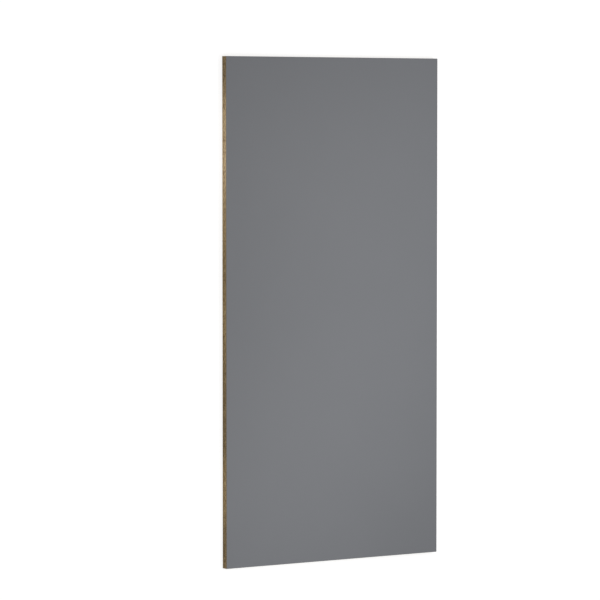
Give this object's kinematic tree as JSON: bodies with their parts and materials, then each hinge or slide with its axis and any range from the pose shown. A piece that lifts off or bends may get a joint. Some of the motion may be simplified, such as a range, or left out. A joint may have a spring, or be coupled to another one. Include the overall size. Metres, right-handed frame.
{
  "type": "laminate faced board",
  "caption": "Full flat sheet of thick particle board with a plain grey, matt decorative laminate bonded over one face and trimmed flush with its square sawn edges.",
  "frame": {"origin": "middle of the sheet's back, on the surface that it lies on", "axes": "+X across the width, +Y along the length, +Z out of the decorative face"},
  "size_m": [1.22, 2.44, 0.036],
  "materials": {
    "particle_board": "raw sawn and sanded wood chips in resin, matt",
    "grey_laminate": "plain mid grey with a fine suede grain, matt"
  },
  "bodies": {
    "root": {"core_board": "particle_board", "laminate_face": "grey_laminate"}
  },
  "joints": []
}
